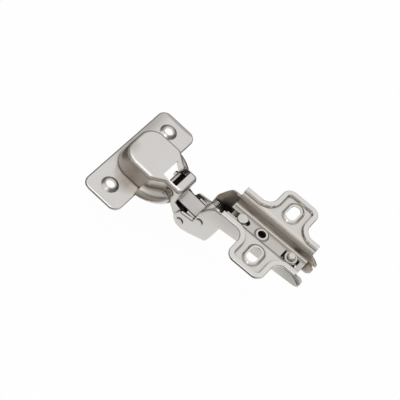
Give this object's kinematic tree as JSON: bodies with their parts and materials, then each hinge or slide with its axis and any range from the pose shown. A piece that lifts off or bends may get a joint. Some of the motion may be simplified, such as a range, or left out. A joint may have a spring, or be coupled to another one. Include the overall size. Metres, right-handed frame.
{
  "type": "cranked concealed cabinet hinge",
  "caption": "Cranked concealed cup hinge for an inset door, open, on its cross mounting plate, with links, riveted pins, spring and adjusting screws.",
  "frame": {"origin": "midway between the mounting plate's two slots, on the face that lies on the cabinet panel", "axes": "+X along the arm from the plate to the cup, +Y along the pivot pins and the plate's wings, +Z out of the plate's panel side"},
  "size_m": [0.1073, 0.0632, 0.0351],
  "materials": {
    "plate": "satin nickel plate",
    "arm": "satin nickel plate",
    "cup": "satin nickel plate",
    "link_light": "satin nickel plate",
    "link_dark": "satin nickel plate",
    "pin": "bright steel",
    "spring": "spring wire, nickel plated",
    "screw": "bright nickel plate",
    "nut": "satin nickel plate"
  },
  "bodies": {
    "mounting_plate": {"mounting_plate": "plate"},
    "clamp": {"fixing_nut": "nut"},
    "fixing_screw": {"fixing_screw": "screw"},
    "overlay_screw": {"overlay_screw": "screw"},
    "arm": {"hinge_arm": "arm", "arm_pin_front": "pin", "arm_pin_rear": "pin", "closing_spring": "spring"},
    "inner_link": {"inner_link": "link_dark"},
    "cup": {"hinge_cup": "cup", "cup_pin_front": "pin", "cup_pin_rear": "pin"},
    "outer_link": {"outer_link": "link_light"}
  },
  "joints": [
    {"name": "depth_slide", "type": "slide", "parent": "mounting_plate", "child": "clamp", "axis": [1, 0, 0], "range_m": [-0.0018, 0.0018]},
    {"name": "fixing_screw_turn", "type": "hinge", "parent": "clamp", "child": "fixing_screw", "pos_m": [-0.0125, 0, 0], "axis": [0, 0, 1], "range_deg": [0, 540]},
    {"name": "side_adjust", "type": "hinge", "parent": "clamp", "child": "arm", "pos_m": [-0.0125, 0, -0.0118], "axis": [0, -1, 0], "range_deg": [-1.5, 0.5]},
    {"name": "overlay_screw_turn", "type": "hinge", "parent": "clamp", "child": "overlay_screw", "pos_m": [0.0158, 0, 0], "axis": [0, 0, 1], "range_deg": [-334, 112]},
    {"name": "inner_link_swing", "type": "hinge", "parent": "arm", "child": "inner_link", "pos_m": [0.0398, 0, -0.0299], "axis": [0, -1, 0], "range_deg": [0, 38.46]},
    {"name": "cup_fold", "type": "hinge", "parent": "inner_link", "child": "cup", "pos_m": [0.05445, 0, -0.02143], "axis": [0, 1, 0], "range_deg": [0, 133.31]},
    {"name": "outer_link_swing", "type": "hinge", "parent": "cup", "child": "outer_link", "pos_m": [0.0512, 0, -0.0186], "axis": [0, -1, 0], "range_deg": [0, 117.14]}
  ],
  "couplings": [
    {"joint": "inner_link_swing", "follows": "cup_fold", "ratio": 0.28813},
    {"joint": "outer_link_swing", "follows": "cup_fold", "ratio": 0.87833},
    {"joint": "overlay_screw_turn", "follows": "side_adjust", "ratio": 222.27}
  ]
}
